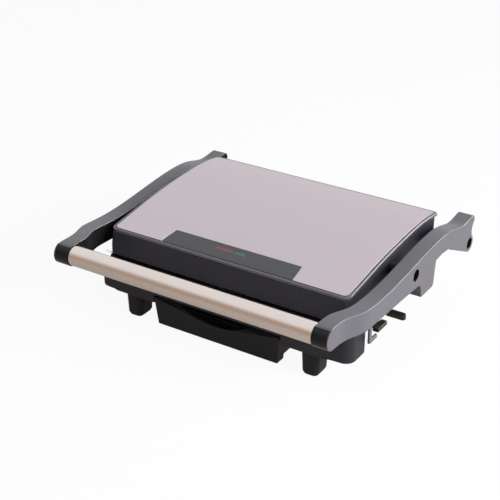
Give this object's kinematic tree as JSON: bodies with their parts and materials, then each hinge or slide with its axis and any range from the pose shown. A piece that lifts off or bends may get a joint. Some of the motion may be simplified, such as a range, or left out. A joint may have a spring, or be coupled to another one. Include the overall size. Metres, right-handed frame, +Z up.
{
  "type": "contact grill",
  "caption": "Countertop contact grill with a floating brushed lid on two side arms, tube handle, ribbed plates, slide-out drip tray, storage latch and hinge release lever",
  "frame": {"origin": "on the table under the middle of the outline", "axes": "+X along the handle to the right seen from the front, +Y to the hinge at the rear, +Z up"},
  "size_m": [0.35, 0.32, 0.1099],
  "materials": {
    "body_plastic": "satin moulded",
    "cover_steel": "black powder coat",
    "screw_steel": "zinc plated",
    "foot_plastic": "satin moulded",
    "foot_rubber": "matte",
    "plate_cast": "non-stick coated",
    "stud_steel": "turned",
    "element_sheath": "oxidised sheath",
    "reflector_sheet": "bright rolled",
    "thermostat_case": "pressed",
    "fuse_case": "drawn",
    "terminal_plastic": "moulded",
    "gland_rubber": "matte",
    "bracket_steel": "satin black",
    "pin_steel": "ground",
    "arm_paint": "gunmetal paint, satin",
    "tube_steel": "brushed along the tube",
    "plug_plastic": "moulded",
    "cap_gloss": "gloss",
    "screw_dark": "blackened",
    "bushing_plastic": "moulded",
    "lid_plastic": "satin moulded",
    "frame_paint": "graphite paint, satin",
    "panel_steel": "fine brushed",
    "window_plastic": "smoked",
    "lens_red": "translucent",
    "lens_green": "translucent",
    "bulb_glass": "clear",
    "tray_plastic": "satin moulded",
    "latch_plastic": "moulded",
    "spring_steel": "coiled"
  },
  "bodies": {
    "base": {"base_housing": "body_plastic", "base_rim": "body_plastic", "bottom_cover_right": "cover_steel", "bottom_cover_left": "cover_steel", "bottom_cover_screws": "screw_steel", "front_feet": "foot_plastic", "rear_feet": "foot_plastic", "foot_pads": "foot_rubber", "lower_plate": "plate_cast", "lower_plate_studs": "stud_steel", "lower_element": "element_sheath", "lower_reflector": "reflector_sheet", "lower_thermostat": "thermostat_case", "lower_thermal_fuse": "fuse_case", "terminal_block": "terminal_plastic", "cord_gland": "gland_rubber", "hinge_bracket_right": "bracket_steel", "hinge_bracket_left": "bracket_steel", "bracket_screws": "screw_steel", "lever_pin": "pin_steel", "lever_spring": "spring_steel"},
    "arms": {"arm_right": "arm_paint", "arm_left": "arm_paint", "storage_hook": "arm_paint", "handle_tube": "tube_steel", "handle_plugs": "plug_plastic", "nose_caps": "cap_gloss", "float_pivot_screws": "screw_dark", "pivot_bushings": "bushing_plastic"},
    "lid": {"lid_skirt": "lid_plastic", "lid_frame": "frame_paint", "lid_panel": "panel_steel", "indicator_window": "window_plastic", "lamp_lens_red": "lens_red", "lamp_lens_green": "lens_green", "lamp_bulbs": "bulb_glass", "upper_plate": "plate_cast", "upper_plate_studs": "stud_steel", "upper_element": "element_sheath", "upper_reflector": "reflector_sheet", "upper_thermostat": "thermostat_case", "upper_thermal_fuse": "fuse_case"},
    "pins": {"hinge_pins": "pin_steel", "hinge_washers": "pin_steel"},
    "drip_tray": {"drip_tray": "tray_plastic"},
    "latch": {"latch_slider": "latch_plastic"},
    "lever": {"release_lever": "latch_plastic"}
  },
  "joints": [
    {"name": "float_lift", "type": "hinge", "parent": "base", "child": "pins", "pos_m": [0, 0.15, 0.062], "axis": [-1, 0, 0], "range_deg": [0, 8]},
    {"name": "arms_open", "type": "hinge", "parent": "pins", "child": "arms", "pos_m": [0, 0.15, 0.062], "axis": [-1, 0, 0], "range_deg": [0, 172]},
    {"name": "lid_tilt", "type": "hinge", "parent": "arms", "child": "lid", "pos_m": [0, 0.01, 0.085], "axis": [-1, 0, 0], "range_deg": [-8, 0]},
    {"name": "drip_tray_slide", "type": "slide", "parent": "base", "child": "drip_tray", "axis": [0, -1, 0], "range_m": [0, 0.14]},
    {"name": "latch_slide", "type": "slide", "parent": "base", "child": "latch", "axis": [0, -1, 0], "range_m": [0, 0.011]},
    {"name": "release_lever_turn", "type": "hinge", "parent": "base", "child": "lever", "pos_m": [0.118, 0.0125, 0.0325], "axis": [0, 0, -1], "range_deg": [0, 10], "stiffness_Nm_per_rad": 0.05}
  ],
  "couplings": [
    {"joint": "lid_tilt", "follows": "float_lift", "ratio": -1}
  ]
}
